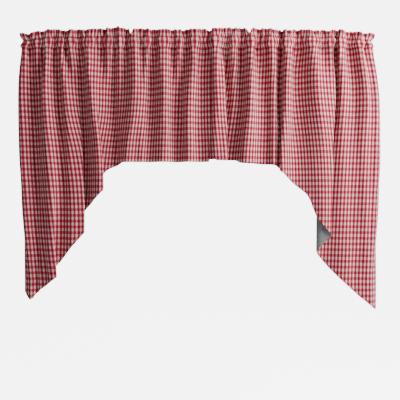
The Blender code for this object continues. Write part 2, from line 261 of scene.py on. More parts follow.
# The heading's section, from the back of the pocket up over the header and down the front, in
# millimetres: drop, reach out from the rod line, share of the folds' depth, then how far its small
# pleats stand out in the three ways that gathers() draws them.
HEADING_COLUMNS = ("name", "drop", "reach", "share", "stitch", "header", "pocket")
HEADING_SECTION = (
    ("back seam", 66, -1.3, 0.95, 1.1, 0.0, 2.3),
    ("back pocket low", 58, -6.5, 0.6, 0.2, 0.0, 1.1),
    ("back pocket", 47, -8.0, 0.5, 0.0, 0.0, 1.0),
    ("back pocket high", 36, -6.0, 0.5, 0.3, 0.0, 1.1),
    ("back stitch line", 28, -1.3, 0.55, 1.4, 0.4, 0.6),
    ("back header", 15, -2.0, 0.45, 0.4, 4.0, 0.0),
    ("back top", 3.5, -0.4, 0.4, 0.0, 5.6, 0.0),
    ("top", 0, 1.6, 0.4, 0.0, 5.8, 0.0),
    ("front top", 3.5, 3.6, 0.4, 0.0, 5.6, 0.0),
    ("front header", 15, 3.2, 0.45, 0.4, 4.0, 0.0),
    ("front stitch line", 28, 1.3, 0.55, 1.4, 0.4, 0.6),
    ("front pocket high", 36, 6.0, 0.6, 0.3, 0.6, 2.2),
    ("front pocket", 47, 8.0, 0.6, 0.0, 0.0, 2.4),
    ("front pocket low", 58, 5.0, 0.8, 0.4, 0.0, 2.6),
    ("front seam", 66, 1.2, 0.95, 1.1, 0.0, 2.3),
)

HEADING_ROWS = [dict(zip(HEADING_COLUMNS, row)) for row in HEADING_SECTION]
STITCH_LINES = ("front stitch line", "front seam", "back stitch line", "back seam")

# Dips and rises of the heading along the rod: place, height, half width, and how far down they reach.
TOP_EDGE_COLUMNS = ("name", "x", "rise", "half_width", "depth")
TOP_EDGE_DIPS = (
    ("left sag", -590, -17, 60, 67),
    ("left level", -430, -6, 80, 45),
    ("left pinch", -452, -4, 10, 25),
    ("pleat lift", -279, 6, 16, 25),
    ("folded pleat", -230, -20, 6, 22),
    ("centre level", -95, -5, 120, 35),
    ("join dip", 35, -7, 7, 22),
    ("centre swell", 102, 2, 24, 25),
    ("folded ruffle", 170, -18, 6, 22),
    ("right level", 290, -7, 50, 35),
    ("right dip", 400, -8, 50, 45),
    ("pinched ruffle", 442, -6, 7, 22),
    ("right sag", 565, -16, 85, 67),
    ("right tip", 592, -4, 10, 50),
)


def fold_columns(folds):
    """Read one panel's table as named columns in metres, each with a value for every level."""
    rows = [dict(zip(FOLD_COLUMNS, row)) for row in folds]
    levels = ("seam", "upper", "middle", "low")
    x = np.array([[row[level + "_x"] for level in levels] for row in rows]) * MM
    out = np.array([[row[level + "_out"] for level in levels] for row in rows]) * MM
    share = (np.array(LEVELS) - LEVELS[0]) / (LEVELS[-1] - LEVELS[0])
    top = np.array([row["back_top"] for row in rows]) * MM
    low = np.array([row["back_low"] for row in rows]) * MM
    back = top[:, None] + (low - top)[:, None] * share[None, :]
    return x, back, out


def cubic(t, first, last, first_slope, last_slope):
    """The smooth curve from first to last, as t goes from 0 to 1, with a given slope at each end."""
    start = (2 * t**3 - 3 * t**2 + 1) * first + (t**3 - 2 * t**2 + t) * first_slope
    end = (3 * t**2 - 2 * t**3) * last + (t**3 - t**2) * last_slope
    return start + end


def along_drop(values, drops):
    """Smooth curves through values given at LEVELS, one curve a row, read at each drop."""
    levels = np.array(LEVELS)
    slopes = np.gradient(values, levels, axis=1)
    clipped = np.clip(drops, levels[0], levels[-1])
    index = np.clip(np.searchsorted(levels, clipped) - 1, 0, len(levels) - 2)
    span = levels[index + 1] - levels[index]
    t = (clipped - levels[index]) / span
    return cubic(t, values[:, index], values[:, index + 1],
                 span * slopes[:, index], span * slopes[:, index + 1])


def smooth_curve(points, steps):
    """A curve through points[..., n, 2], each stretch cut into steps, rounded by its own length."""
    ahead = np.concatenate([points[..., 1:, :], points[..., -1:, :]], axis=-2)
    behind = np.concatenate([points[..., :1, :], points[..., :-1, :]], axis=-2)
    heading = ahead - behind
    heading = heading / np.linalg.norm(heading, axis=-1, keepdims=True)
    chord = points[..., 1:, :] - points[..., :-1, :]
    length = np.linalg.norm(chord, axis=-1, keepdims=True)
    t = np.linspace(0, 1, steps, endpoint=False)[:, None]
    leave = (heading[..., :-1, :] * length)[..., None, :]
    arrive = (heading[..., 1:, :] * length)[..., None, :]
    inner = cubic(t, points[..., :-1, None, :], points[..., 1:, None, :], leave, arrive)
    inner = inner.reshape(points.shape[:-2] + (-1, 2))
    return np.concatenate([inner, points[..., -1:, :]], axis=-2)


def arc_lengths(curve):
    """Length of cloth from the start of each curve[..., n, k] to each of its points."""
    steps = np.linalg.norm(np.diff(curve, axis=-2), axis=-1)
    zero = np.zeros(steps.shape[:-1] + (1,))
    return np.concatenate([zero, np.cumsum(steps, axis=-1)], axis=-1)


def fold_points(x, back, out, depth):
    """Plan points (x, y) of the folds at each drop, with the folds' reach scaled by depth."""
    y = back - out * depth
    return np.stack([x, y], axis=-1).transpose(1, 0, 2)


def sections(folds, drops, steps):
    """Plan curves of one panel at each drop, all of them FLAT_WIDTH long, and their lengths."""
    x, back, out = (along_drop(column, drops) for column in fold_columns(folds))
    low = np.full(len(drops), 0.2)
    high = np.full(len(drops), 4.0)
    for _ in range(30):
        depth = (low + high) / 2
        length = arc_lengths(smooth_curve(fold_points(x, back, out, depth), steps))[:, -1]
        high = np.where(length > FLAT_WIDTH, depth, high)
        low = np.where(length > FLAT_WIDTH, low, depth)
    curve = smooth_curve(fold_points(x, back, out, depth), steps)
    return curve, arc_lengths(curve)


def from_join(side, length):
    """Distance from the join along the flat cloth, from the length along a section."""
    return length if side == "right" else FLAT_WIDTH - length


def hem_drop(side, cloth_x):
    """Drop of the cut edge at a distance cloth_x from the join, along the flat cloth."""
    rows = [dict(zip(HEM_COLUMNS, row)) for row in {"left": LEFT_HEM, "right": RIGHT_HEM}[side]]
    places = np.array([row["from_join"] for row in rows]) * MM
    drops = np.array([row["drop"] for row in rows]) * MM
    shifts = (-HEM_CORNER_ROUND, 0, HEM_CORNER_ROUND)
    return np.mean([np.interp(cloth_x + shift, places, drops) for shift in shifts], axis=0)


def weft_drift(curve, length, drops):
    """How far down the cloth each point of the sections lies, beyond its drop.

    Threads stay square to each other, so where a fold leans, its crosswise threads run out of level
    by the share of the lengthwise threads' direction that lies along the section. Over more than
    a few folds the cloth gives instead, so the long swings of that drift are taken off.
    """
    places = np.linspace(0, FLAT_WIDTH, 400)
    even = np.array([[np.interp(places, run, row[:, axis]) for axis in (0, 1)]
                     for row, run in zip(curve, length)]).transpose(0, 2, 1)
    down = np.gradient(even, drops, axis=0)
    steepness = np.sqrt(1 + (down**2).sum(axis=-1))
    along = np.gradient(even, places, axis=1)
    along = along / np.linalg.norm(along, axis=-1, keepdims=True)
    lean = (down * along).sum(axis=-1) / steepness
    step = places[1]
    drift = np.concatenate([np.zeros((len(drops), 1)),
                            np.cumsum((lean[:, 1:] + lean[:, :-1]) / 2 * step, axis=1)], axis=1)
    reach = int(WEFT_GIVE / step / 2)
    padded = np.pad(drift, ((0, 0), (reach, reach)), mode="reflect", reflect_type="odd")
    total = np.cumsum(np.pad(padded, ((0, 0), (1, 0))), axis=1)
    swing = (total[:, 2 * reach + 1:] - total[:, :-2 * reach - 1]) / (2 * reach + 1)
    drift = WEFT_SHARE * (drift - swing)
    return np.array([np.interp(run, places, row) for run, row in zip(length, drift)])


def warp_slide(curve, length):
    """How much cloth has moved past each point of the sections since the seam.

    Single folds may lean, but over WARP_SPAN the lengthwise threads hang plumb, so this is how far
    they would otherwise run aside.
    """
    spots = np.linspace(curve[..., 0].min(), curve[..., 0].max(), 80)
    passed = []
    for row, run in zip(curve, length):
        near = np.exp(-((spots[:, None] - row[:, 0]) / WARP_SPAN)**2)
        passed.append(near @ run / near.sum(axis=1))
    moved = np.array(passed) - passed[0]
    return np.array([np.interp(row[:, 0], spots, shift) for row, shift in zip(curve, moved)])


def at_panel(panel, drops, values):
    """Values known at each drop of each column, read off at the points of a panel."""
    columns = [np.interp(-panel[:, column, 2], drops, values[:, column])
               for column in range(panel.shape[1])]
    return np.array(columns).T


def waver(values, period, seed):
    """An uneven wave of about one period and of size one, the same each run."""
    turn = 2 * np.pi * values / period
    shift = 1.7 * np.sin(0.31 * turn + seed) + 0.9 * np.sin(0.113 * turn + 2.3 * seed)
    swell = 0.72 + 0.28 * np.sin(0.23 * turn + 1.9 * seed)
    return swell * np.sin(turn + shift + seed)


def bisecting_runs(grid, axis):
    """At each point, the mean direction of the runs that come to it and leave it along an axis."""
    run = np.diff(grid, axis=axis)
    run = run / np.maximum(np.linalg.norm(run, axis=-1, keepdims=True), 1e-9)
    first, last = np.take(run, [0], axis=axis), np.take(run, [-1], axis=axis)
    return np.concatenate([first, run], axis=axis) + np.concatenate([run, last], axis=axis)


def grid_normals(grid):
    """Unit normals of a grid of points, pointing into the room."""
    normal = np.cross(bisecting_runs(grid, 0), bisecting_runs(grid, 1))
    return normal / np.linalg.norm(normal, axis=-1, keepdims=True)


def waves(values, name):
    """The sum of the uneven waves that WAVES lists under a name."""
    rows = [dict(zip(WAVE_COLUMNS, row)) for row in WAVES]
    return sum(row["size"] * waver(values, row["period"] * MM, row["seed"])
               for row in rows if row["name"] == name)


def heading_rise(x, drop):
    """How far a point of the heading stands above or below its even height at x."""
    rise = np.zeros_like(x)
    for row in TOP_EDGE_DIPS:
        dip = dict(zip(TOP_EDGE_COLUMNS, row))
        felt = np.clip(1 - (drop / (dip["depth"] * MM))**2, 0, 1)
        rise += dip["rise"] * MM * felt * np.exp(-((x - dip["x"] * MM) / (dip["half_width"] * MM))**2)
    return rise


def gathers(cloth_x, stitch, header, pocket):
    """Small pleats of the gathered heading, as a reach into the room, for three kinds of place."""
    pinch = np.exp(-(waves(cloth_x, "pinches") / PINCH_SHARE)**2)
    fine = waves(cloth_x, "stitch pleats")
    ruffle = waves(cloth_x, "header ruffle") - 2.2 * pinch
    soft = waves(cloth_x, "pocket pleats") - 1.3 * pinch
    return stitch * fine + header * ruffle + pocket * soft


def heading_rows(curve, plain, cloth_x):
    """Points over the heading, from the back of the pocket up over the header and down the front."""
    columns = np.array([[row[name] for name in HEADING_COLUMNS[1:]] for row in HEADING_ROWS])
    spread = np.linspace(0, len(columns) - 1, HEADING_STEPS * (len(columns) - 1) + 1)
    slopes = np.gradient(columns, axis=0)
    index = np.clip(spread.astype(int), 0, len(columns) - 2)
    profile = cubic((spread - index)[:, None], columns[index], columns[index + 1],
                    slopes[index], slopes[index + 1])
    rows = []
    for drop, reach, share, stitch, header, pocket in profile:
        path = plain + (curve - plain) * share
        run = bisecting_runs(path, 0)
        facing = np.stack([run[:, 1], -run[:, 0]], axis=-1)
        facing = facing / np.linalg.norm(facing, axis=-1, keepdims=True)
        pleats = gathers(cloth_x, stitch * MM, header * MM, pocket * MM)
        place = path + facing * (reach * MM + pleats)[:, None]
        lift = np.clip(1 - drop * MM / HEADER_HEIGHT, 0, 1)
        waist = np.exp(-((drop - POCKET_MIDDLE) / WAIST_REACH)**2)
        corner = np.exp(-(np.minimum(np.abs(path[:, 0]) / CORNER_X - 1, 0) / CORNER_SHARE)**2)
        place[:, 0] *= 1 + corner * (HEADER_FLARE * lift - WAIST_DRAW * waist)
        crumple = lift * waves(cloth_x, "header crumple") + waist * waves(cloth_x, "pocket crumple")
        place[:, 0] += HEADING_CRUMPLE * (1 - corner) * crumple
        rise = heading_rise(path[:, 0], drop * MM) + FRILL_HEIGHT * lift * waves(cloth_x, "frill")
        rows.append(np.column_stack([place, rise - drop * MM]))
    return np.array(rows)


def panel_rows(side, curve, length, drops):
    """Points over the hanging panel from its seam to its hem, and how far down the cloth they lie."""
    drift = weft_drift(curve, length, drops)
    share = np.linspace(0, 1, PANEL_ROWS + 1)
    share = 0.62 * share + 0.38 * share**2
    points = []
    down = []
    for column in range(curve.shape[1]):
        cloth_x = from_join(side, length[:, column])
        hem = np.interp(0, drops - hem_drop(side, cloth_x), drops)
        reach = SEAM_DROP + (hem - SEAM_DROP) * share
        plan = [np.interp(reach, drops, curve[:, column, axis]) for axis in (0, 1)]
        points.append(np.column_stack(plan + [-reach]))
        settled = 1 - np.exp(-(reach - SEAM_DROP) / (60 * MM))
        down.append(reach + settled * np.interp(reach, drops, drift[:, column]))
    return np.array(points).transpose(1, 0, 2), np.array(down).T


def cloth_over_folds(side, folds):
    """One panel's whole cloth: grid of points, its unit normals, its flat place, and its seam row."""
    drops = np.linspace(SEAM_DROP, LONGEST_DROP + HEM_MARGIN, SECTION_COUNT)
    curve, length = sections(folds, drops, STEPS_PER_FOLD)
    x, back, _ = (along_drop(column, np.array([SEAM_DROP])) for column in fold_columns(folds))
    plain = smooth_curve(fold_points(x, back, 0 * x, 0.0), STEPS_PER_FOLD)[0]
    seam_x = from_join(side, length[0])
    heading = heading_rows(curve[0], plain, seam_x)
    panel, down = panel_rows(side, curve, length, drops)
    below = -panel[..., 2] - SEAM_DROP
    across = at_panel(panel, drops, from_join(side, length))
    plumb = from_join(side, length - WARP_SHARE * warp_slide(curve, length))
    plumb = at_panel(panel, drops, plumb)
    pleats = np.exp(-below / PLEAT_REACH) * gathers(across, 1.1 * MM, 0, 2.3 * MM)
    drapes = np.exp(-below / DRAPE_REACH) * waves(across + 0.1 * below, "drapes")
    uneven = waves(across + 0.24 * below, "broad sway") + waves(across - 0.15 * below, "small sway")
    settled = 1 - np.exp(-below / SETTLED_REACH)
    stand = pleats + (drapes + settled * uneven) * MM
    panel = panel + grid_normals(panel) * stand[..., None]
    if side == "right":
        for rows, places in ((heading, seam_x), (panel, across)):
            rows[..., :2] += np.exp(-(places / JOIN_TUCK_WIDTH)**2)[..., None] * JOIN_TUCK
    climb = np.linalg.norm(np.diff(np.concatenate([heading, panel[:1]]), axis=0), axis=-1)
    climb = np.cumsum(climb[::-1], axis=0)[::-1]
    grid = np.concatenate([heading, panel])
    flat_x = np.concatenate([np.broadcast_to(seam_x, climb.shape), plumb])
    flat_y = np.concatenate([SEAM_DROP - climb.mean(axis=1, keepdims=True) + 0 * climb, down])
    return grid, grid_normals(grid), np.stack([flat_x, flat_y], axis=-1), len(heading)


def grid_quads(index):
    """Quads over a grid of point numbers."""
    corners = (index[:-1, :-1], index[1:, :-1], index[1:, 1:], index[:-1, 1:])
    return np.stack([corner.ravel() for corner in corners], axis=-1)


def sheet_object(name, grid, normals, flat, offsets, material):
    """A closed sheet between two offsets of one grid, smooth but for its cut edges."""
    rows, columns = grid.shape[:2]
    front = np.arange(rows * columns).reshape(rows, columns)
    back = front + rows * columns
    rims = (
        np.stack([front[0], back[0]])[::-1],
        np.stack([front[-1], back[-1]]),
        np.stack([front[:, 0], back[:, 0]]),
        np.stack([front[:, -1], back[:, -1]])[::-1],
    )
    quads = [grid_quads(front), grid_quads(back)[:, ::-1]] + [grid_quads(rim) for rim in rims]
    faces = np.concatenate(quads)
    points = np.concatenate([(grid + normals * offset).reshape(-1, 3) for offset in offsets])
    mesh = bpy.data.meshes.new(name)
    mesh.from_pydata(points.tolist(), [], faces.tolist())
    uv = mesh.uv_layers.new(name=UV_NAME)
    places = np.concatenate([flat.reshape(-1, 2)] * 2)[faces.ravel()]
    uv.data.foreach_set("uv", places.ravel().astype(np.float32))
    mesh.materials.append(material)
    mesh.shade_smooth()
    mesh.set_sharp_from_angle(angle=CUT_EDGE_ANGLE)
    piece = bpy.data.objects.new(name, mesh)
    bpy.context.scene.collection.objects.link(piece)
    return piece


def declare_sheet(piece, nodes):
    """Put a cloth on the frame under its body, and hide the solids it stands for."""
    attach(piece, "root")
    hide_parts(*nodes)


# ---------------------------------------------------------------- materials


def math(tree, operation, first, second=None, third=None):
    """A Math node. Each value is a number or another node's output."""
    node = tree.nodes.new("ShaderNodeMath")
    node.operation = operation
    for socket, value in zip(node.inputs, (first, second, third)):
        if isinstance(value, (int, float)):
            socket.default_value = value
        elif value is not None:
            tree.links.new(value, socket)
    return node.outputs[0]


def cloth_shader(name, roughness, sheen):
    """A new cloth material: its tree, its shader, and its cloth coordinates in metres."""
    material = bpy.data.materials.new(name)
    material.use_nodes = True
    tree = material.node_tree
    shader = tree.nodes["Principled BSDF"]
    shader.inputs["Roughness"].default_value = roughness
    shader.inputs["Specular IOR Level"].default_value = 0.1
    shader.inputs["Sheen Weight"].default_value = sheen
    shader.inputs["Sheen Roughness"].default_value = 0.5
    place = tree.nodes.new("ShaderNodeUVMap")
    place.uv_map = UV_NAME
    apart = tree.nodes.new("ShaderNodeSeparateXYZ")
    tree.links.new(place.outputs[0], apart.inputs[0])
    return material, tree, shader, place.outputs[0], apart.outputs[0], apart.outputs[1]


def stripe(tree, place, period, share):
    """One inside a coloured stripe and zero between stripes, with edges as soft as a thread."""
    triangle = math(tree, "PINGPONG", place, period / 2)
    edge = math(tree, "SUBTRACT", triangle, period / 2 * (1 - share))
    soft = tree.nodes.new("ShaderNodeMapRange")
    soft.interpolation_type = "SMOOTHSTEP"
    soft.inputs["From Min"].default_value = -STRIPE_EDGE
    soft.inputs["From Max"].default_value = STRIPE_EDGE
    tree.links.new(edge, soft.inputs["Value"])
    return soft.outputs[0]


def slubs(tree, place, stretch, amount):
    """Uneven threads: noise drawn out along one way of the weave, about one, by amount."""
    mapping = tree.nodes.new("ShaderNodeMapping")
    mapping.inputs["Scale"].default_value = stretch
    tree.links.new(place, mapping.inputs["Vector"])
    noise = tree.nodes.new("ShaderNodeTexNoise")
    noise.inputs["Scale"].default_value = 1.0
    noise.inputs["Detail"].default_value = 2.0
    tree.links.new(mapping.outputs[0], noise.inputs["Vector"])
    return math(tree, "MULTIPLY_ADD", noise.outputs["Fac"], 2 * amount, 1 - amount)


def weave_height(tree, across, down, pitch):
    """Height of a plain weave: each thread passes over and under its neighbours, from -1 to 1."""
    waves = [math(tree, "SINE", math(tree, "MULTIPLY", way, np.pi / pitch)) for way in (across, down)]
    return math(tree, "MULTIPLY", *waves)


def weave_bump(tree, shader, height, thread_relief):
    """Raise the weave on the shader's normal."""
    bump = tree.nodes.new("ShaderNodeBump")
    bump.inputs["Strength"].default_value = 0.6
    bump.inputs["Distance"].default_value = thread_relief
    tree.links.new(height, bump.inputs["Height"])
    tree.links.new(bump.outputs[0], shader.inputs["Normal"])


def shaded_colour(tree, colour, shade):
    """A colour darkened or lightened by a factor."""
    scale = tree.nodes.new("ShaderNodeVectorMath")
    scale.operation = "SCALE"
    tree.links.new(colour, scale.inputs[0])
    tree.links.new(shade, scale.inputs["Scale"])
    return scale.outputs[0]


def checked_cotton(cloth):
    """Plain-woven check: red and cream stripes both ways, solid where like meets like."""
    material, tree, shader, place, across, down = cloth_shader("checked_cotton", 0.88, 0.12)
    warp = stripe(tree, across, cloth.check_width, cloth.warp_red_share)
    weft = stripe(tree, down, cloth.check_height, cloth.weft_red_share)
    weave = weave_height(tree, across, down, cloth.thread_pitch)
    lean = math(tree, "MULTIPLY_ADD", weave, 0.14, 0.59)
    redness = math(tree, "ADD", math(tree, "MULTIPLY", warp, lean),
                   math(tree, "MULTIPLY", weft, math(tree, "SUBTRACT", 1.0, lean)))
    ramp = tree.nodes.new("ShaderNodeValToRGB")
    ramp.color_ramp.elements[0].color = (*cloth.cream, 1)
    ramp.color_ramp.elements[1].color = (*cloth.red, 1)
    middle = ramp.color_ramp.elements.new(0.5)
    middle.color = (*cloth.pink, 1)
    tree.links.new(redness, ramp.inputs[0])
    shade = math(tree, "MULTIPLY", slubs(tree, place, (1400, 60, 1), 0.07),
                 slubs(tree, place, (60, 1400, 1), 0.07))
    tree.links.new(shaded_colour(tree, ramp.outputs[0], shade), shader.inputs["Base Color"])
    weave_bump(tree, shader, weave, cloth.thread_relief)
    return material


def lining_painted_shade(cloth):
    """Lining whose grey is painted shade: a mid grey that stands for a pale lining in shade, its
    threads finer than the face cloth's.
    """
    material, tree, shader, place, across, down = cloth_shader("lining_painted_shade", 0.9, 0.02)
    # Painted shade: this grey stands for a pale lining seen in shade.
    colour = tree.nodes.new("ShaderNodeRGB")
    colour.outputs[0].default_value = (*cloth.lining, 1)
    shade = math(tree, "MULTIPLY", slubs(tree, place, (1800, 90, 1), 0.12),
                 slubs(tree, place, (90, 1800, 1), 0.12))
    tree.links.new(shaded_colour(tree, colour.outputs[0], shade), shader.inputs["Base Color"])
    weave = weave_height(tree, across, down, 0.75 * cloth.thread_pitch)
    weave_bump(tree, shader, weave, cloth.thread_relief)
    return material


def thread_cotton(cloth):
    """Sewing thread, the red of the check, twisted along its length."""
    material = bpy.data.materials.new("sewing_thread")
    material.use_nodes = True
    tree = material.node_tree
    shader = tree.nodes["Principled BSDF"]
    shader.inputs["Roughness"].default_value = 0.6
    place = tree.nodes.new("ShaderNodeTexCoord")
    noise = tree.nodes.new("ShaderNodeTexNoise")
    noise.inputs["Scale"].default_value = 2500.0
    tree.links.new(place.outputs["Object"], noise.inputs["Vector"])
    colour = tree.nodes.new("ShaderNodeRGB")
    colour.outputs[0].default_value = (*cloth.thread, 1)
    shade = math(tree, "MULTIPLY_ADD", noise.outputs["Fac"], 0.5, 0.75)
    tree.links.new(shaded_colour(tree, colour.outputs[0], shade), shader.inputs["Base Color"])
    return material


def material_named(name, make, cloth):
    """The material of that name, made the first time it is asked for."""
    return bpy.data.materials.get(name) or make(cloth)


# ---------------------------------------------------------------- stitches


def stitch_tree(material):
    """Geometry Nodes: even stitches along a line of edges, realized into one mesh."""
    tree = bpy.data.node_groups.new("stitch_row", "GeometryNodeTree")
    face = tree.interface
    face.new_socket("Geometry", in_out="INPUT", socket_type="NodeSocketGeometry")
    for name in ("Pitch", "Length", "Thread Radius"):
        face.new_socket(name, in_out="INPUT", socket_type="NodeSocketFloat")
    face.new_socket("Geometry", in_out="OUTPUT", socket_type="NodeSocketGeometry")
    start = tree.nodes.new("NodeGroupInput")
    end = tree.nodes.new("NodeGroupOutput")
    curve = tree.nodes.new("GeometryNodeMeshToCurve")
    even = tree.nodes.new("GeometryNodeResampleCurve")
    even.mode = "LENGTH"
    ball = tree.nodes.new("GeometryNodeMeshUVSphere")
    ball.inputs["Segments"].default_value = 6
    ball.inputs["Rings"].default_value = 5
    ball.inputs["Radius"].default_value = 1.0
    size = tree.nodes.new("ShaderNodeCombineXYZ")
    half = tree.nodes.new("ShaderNodeMath")
    half.operation = "MULTIPLY"
    half.inputs[1].default_value = 0.5
    tangent = tree.nodes.new("GeometryNodeInputTangent")
    turn = tree.nodes.new("FunctionNodeAlignRotationToVector")
    turn.axis = "X"
    place = tree.nodes.new("GeometryNodeInstanceOnPoints")
    solid = tree.nodes.new("GeometryNodeRealizeInstances")
    paint = tree.nodes.new("GeometryNodeSetMaterial")
    paint.inputs["Material"].default_value = material
    for source, target in (
        (start.outputs["Geometry"], curve.inputs["Mesh"]),
        (curve.outputs[0], even.inputs["Curve"]),
        (start.outputs["Pitch"], even.inputs["Length"]),
        (start.outputs["Length"], half.inputs[0]),
        (half.outputs[0], size.inputs["X"]),
        (start.outputs["Thread Radius"], size.inputs["Y"]),
        (start.outputs["Thread Radius"], size.inputs["Z"]),
        (tangent.outputs[0], turn.inputs["Vector"]),
        (even.outputs[0], place.inputs["Points"]),
        (ball.outputs["Mesh"], place.inputs["Instance"]),
        (turn.outputs[0], place.inputs["Rotation"]),
        (size.outputs[0], place.inputs["Scale"]),
        (place.outputs[0], solid.inputs[0]),
        (solid.outputs[0], paint.inputs["Geometry"]),
        (paint.outputs[0], end.inputs[0]),
    ):
        tree.links.new(source, target)
    return tree


def stitch_rows(name, lines, tree, thread):
    """Stitches along several lines of points, as one plain mesh."""
    mesh = bpy.data.meshes.new(name + "_lines")
    points = np.concatenate(lines)
    starts = np.cumsum([0] + [len(line) for line in lines])
    edges = [(i, i + 1) for first, last in zip(starts[:-1], starts[1:]) for i in range(first, last - 1)]
    mesh.from_pydata(points.tolist(), edges, [])
    guide = bpy.data.objects.new(name + "_lines", mesh)
    bpy.context.scene.collection.objects.link(guide)
    modifier = guide.modifiers.new("stitches", "NODES")
    modifier.node_group = tree
    sizes = {"Pitch": thread.pitch, "Length": thread.length, "Thread Radius": thread.radius}
    for item in tree.interface.items_tree:
        if item.name in sizes and item.in_out == "INPUT":
            modifier[item.identifier] = sizes[item.name]
    ready = guide.evaluated_get(bpy.context.evaluated_depsgraph_get())
    solid = bpy.data.meshes.new_from_object(ready)
    bpy.data.objects.remove(guide)
    solid.shade_smooth()
    piece = bpy.data.objects.new(name, solid)
    bpy.context.scene.collection.objects.link(piece)
    return piece


# ---------------------------------------------------------------- settings


class ClothSettings(bpy.types.PropertyGroup):
    """Colours, check and weave of the cloths."""
    check_width: FloatProperty(name="Check Width", default=11.8 * MM, unit="LENGTH", precision=4,
                               description="Width of one red and one cream lengthwise stripe")
    check_height: FloatProperty(name="Check Height", default=19.6 * MM, unit="LENGTH", precision=4,
                                description="Height of one red and one cream crosswise stripe")
    warp_red_share: FloatProperty(name="Lengthwise Red Share", default=0.56, min=0, max=1,
                                  description="Share of the check's width that is red")
    weft_red_share: FloatProperty(name="Crosswise Red Share", default=0.5, min=0, max=1,
                                  description="Share of the check's height that is red")
    thread_pitch: FloatProperty(name="Thread Pitch", default=0.8 * MM, unit="LENGTH", precision=5,
                                description="Distance between neighbouring threads")
    thread_relief: FloatProperty(name="Thread Relief", default=0.12 * MM, unit="LENGTH", precision=5,
                                 description="How far a thread stands out of the weave")
    cream: FloatVectorProperty(name="Cream", subtype="COLOR", default=(0.76, 0.56, 0.51),
                               description="Undyed threads")
    pink: FloatVectorProperty(name="Pink", subtype="COLOR", default=(0.44, 0.045, 0.085),
                              description="Where red threads cross cream ones")
    red: FloatVectorProperty(name="Red", subtype="COLOR", default=(0.24, 0.002, 0.018),
                             description="Dyed threads")
    # Lining colour: a mid grey that is painted shade, standing for a pale lining in shade.
    lining: FloatVectorProperty(name="Lining", subtype="COLOR", default=(0.20, 0.21, 0.21),
                                description="Lining cloth")
    thread: FloatVectorProperty(name="Thread", subtype="COLOR", default=(0.45, 0.03, 0.06),
                                description="Sewing thread")
    face_thickness: FloatProperty(name="Face Thickness", default=0.9 * MM, unit="LENGTH", precision=5,
                                  description="Thickness of the checked cloth")
    lining_thickness: FloatProperty(name="Lining Thickness", default=0.6 * MM, unit="LENGTH",
                                    precision=5, description="Thickness of the lining")
    layer_gap: FloatProperty(name="Layer Gap", default=0.4 * MM, unit="LENGTH", precision=5,
                             description="Air between the face cloth and its lining")


class ThreadSettings(bpy.types.PropertyGroup):
    """Machine stitches that close the rod pocket."""
    pitch: FloatProperty(name="Pitch", default=3.2 * MM, unit="LENGTH", precision=5,
                         description="From one stitch to the next")
    length: FloatProperty(name="Length", default=2.7 * MM, unit="LENGTH", precision=5,
                          description="Length of one stitch")
    radius: FloatProperty(name="Thread Radius", default=0.28 * MM, unit="LENGTH", precision=5,
                          description="Half the thread's thickness")


class StageSettings(bpy.types.PropertyGroup):
    """Camera, lights and floor."""
    camera_distance: FloatProperty(name="Camera Distance", default=2.5, unit="LENGTH",
                                   description="From the camera to the rod line")
    view_width: FloatProperty(name="View Width", default=1.36, unit="LENGTH",
                              description="Width of the view at the rod line")
    view_drop: FloatProperty(name="View Drop", default=0.585, unit="LENGTH",
                             description="How far the camera is below the top edge")
    key_power: FloatProperty(name="Key Power", default=73.0, unit="POWER",
                             description="Light that grazes the folds from the right")
    fill_strength: FloatProperty(name="Fill", default=0.2,
                                 description="Even light from all round")


SETTINGS = {"valance_cloth": ClothSettings, "valance_thread": ThreadSettings,
            "valance_stage": StageSettings}

_grids = {}


def panel_cloth(side):
    """One panel's cloth grid, worked out once."""
    if side not in _grids:
        _grids[side] = cloth_over_folds(side, FOLDS[side])
    return _grids[side]


class VALANCE_OT_face_cloths(bpy.types.Operator):
    """Make the two hanging panels of checked cloth"""
    bl_idname = "valance.face_cloths"
    bl_label = "Face Cloths"

    def execute(self, context):
        cloth = context.scene.valance_cloth
        material = material_named("checked_cotton", checked_cotton, cloth)
        half = cloth.face_thickness / 2
        for side in SIDES:
            grid, normals, flat, seam = panel_cloth(side)
            part = np.s_[seam:]
            piece = sheet_object(side + "_face_cloth", grid[part], normals[part], flat[part],
                                 (half, -half), material)
            declare_sheet(piece, [side + "_face"])
        return {"FINISHED"}


class VALANCE_OT_linings(bpy.types.Operator):
    """Make the linings behind the face cloths, their grey painted shade"""
    bl_idname = "valance.linings"
    bl_label = "Linings"

    def execute(self, context):
        cloth = context.scene.valance_cloth
        material = material_named("lining_painted_shade", lining_painted_shade, cloth)
        front = -cloth.face_thickness / 2 - cloth.layer_gap
        for side in SIDES:
            grid, normals, flat, seam = panel_cloth(side)
            rows = np.r_[seam + 1:len(grid) - 1:2, len(grid) - 1]
            inner = grid[rows].copy()
            inner[-1] += (inner[-2] - inner[-1]) * 0.12
            piece = sheet_object(side + "_lining_cloth", inner[:, 1:-1], normals[rows][:, 1:-1],
                                 flat[rows][:, 1:-1], (front, front - cloth.lining_thickness),
                                 material)
            declare_sheet(piece, [side + "_lining"])
        return {"FINISHED"}


class VALANCE_OT_headings(bpy.types.Operator):
    """Make the ruffled headers and their rod pockets, each one folded cloth"""
    bl_idname = "valance.headings"
    bl_label = "Headings"

    def execute(self, context):
        cloth = context.scene.valance_cloth
        thread = context.scene.valance_thread
        material = material_named("checked_cotton", checked_cotton, cloth)
        tree = stitch_tree(material_named("sewing_thread", thread_cotton, cloth))
        half = cloth.face_thickness / 2
        for side in SIDES:
            grid, normals, flat, seam = panel_cloth(side)
            part = np.s_[:seam + 1]
            piece = sheet_object(side + "_heading_cloth", grid[part], normals[part], flat[part],
                                 (half, -half), material)
            out = half + 0.5 * thread.radius
            lines = [grid[row] + normals[row] * out for row in stitch_line_rows()]
            stitches = stitch_rows(side + "_heading_stitches", lines, tree, thread)
            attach(stitches, "root")
            declare_sheet(piece, [side + "_heading"])
        return {"FINISHED"}


